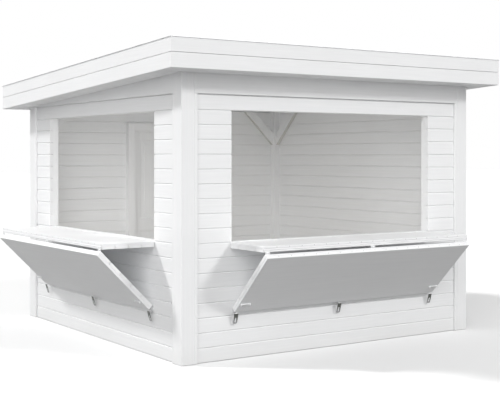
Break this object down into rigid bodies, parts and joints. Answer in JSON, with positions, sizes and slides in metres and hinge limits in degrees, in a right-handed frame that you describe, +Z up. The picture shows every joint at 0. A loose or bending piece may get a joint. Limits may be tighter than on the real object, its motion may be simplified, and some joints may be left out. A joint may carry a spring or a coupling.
{
  "type": "wooden kiosk",
  "caption": "White painted wooden kiosk with fold-down serving hatches, braced counters, a back door and a mono-pitch roof.",
  "frame": {"origin": "middle of the footprint on the ground, under the middle floor bearer", "axes": "+Z up, +X right along the front wall, -Y the front serving side, the door is on +Y"},
  "size_m": [3.6932, 3.6932, 2.459],
  "materials": {
    "white_paint": "matte white paint on planed boards",
    "floor_wood": "bare planed softwood",
    "roof_felt": "matte grey roofing membrane",
    "edge_metal": "satin capping",
    "white_metal": "white gloss paint",
    "galvanised_steel": "galvanised"
  },
  "bodies": {
    "building": {"corner_post_front_left": "white_paint", "corner_post_front_right": "white_paint", "corner_post_back_left": "white_paint", "corner_post_back_right": "white_paint", "corner_battens": "white_paint", "back_top_batten": "white_paint", "front_wall_below": "white_paint", "front_wall_sides": "white_paint", "front_wall_lintel": "white_paint", "left_wall_below": "white_paint", "left_wall_sides": "white_paint", "left_wall_lintel": "white_paint", "right_wall": "white_paint", "back_wall_sides": "white_paint", "back_wall_over_door": "white_paint", "opening_studs": "white_paint", "opening_rails": "white_paint", "front_top_beam": "white_paint", "side_gables": "white_paint", "knee_braces": "white_paint", "rafters": "white_paint", "roof_end_rims": "white_paint", "roof_deck": "white_paint", "roof_felt": "roof_felt", "roof_edge_trim": "edge_metal", "soffit_ends": "white_paint", "soffit_sides": "white_paint", "fascia_front": "white_paint", "fascia_back": "white_paint", "fascia_left": "white_paint", "fascia_right": "white_paint", "floor_bearers": "floor_wood", "floor_deck": "floor_wood", "door_jambs": "white_paint", "door_head": "white_paint", "door_threshold": "white_paint", "door_stops": "white_paint", "door_hinges_frame": "galvanised_steel", "sill_hinges": "white_metal", "wall_hasps": "galvanised_steel"},
    "door": {"door_leaf": "white_paint", "door_panels": "white_paint", "door_hinges_leaf": "galvanised_steel", "door_handles": "galvanised_steel"},
    "front_counter_flap": {"front_counter": "white_paint", "front_counter_hinges": "white_metal"},
    "front_brace_flap": {"front_brace": "white_paint", "front_brace_hinges": "white_metal", "front_brace_pulls": "white_metal"},
    "left_counter_flap": {"left_counter": "white_paint", "left_counter_hinges": "white_metal"},
    "left_brace_flap": {"left_brace": "white_paint", "left_brace_hinges": "white_metal", "left_brace_pulls": "white_metal"}
  },
  "joints": [
    {"name": "door_hinge", "type": "hinge", "parent": "building", "child": "door", "pos_m": [-0.3875, 1.492, 0.9645], "axis": [0, 0, 1], "range_deg": [0, 110]},
    {"name": "front_counter_hinge", "type": "hinge", "parent": "building", "child": "front_counter_flap", "pos_m": [0, -1.485, 0.915], "axis": [-1, 0, 0], "range_deg": [0, 90]},
    {"name": "front_brace_hinge", "type": "hinge", "parent": "front_counter_flap", "child": "front_brace_flap", "pos_m": [0, -1.949, 0.862], "axis": [-1, 0, 0], "range_deg": [0, 135]},
    {"name": "left_counter_hinge", "type": "hinge", "parent": "building", "child": "left_counter_flap", "pos_m": [-1.485, 0, 0.915], "axis": [0, 1, 0], "range_deg": [0, 90]},
    {"name": "left_brace_hinge", "type": "hinge", "parent": "left_counter_flap", "child": "left_brace_flap", "pos_m": [-1.949, 0, 0.862], "axis": [0, 1, 0], "range_deg": [0, 135]}
  ]
}
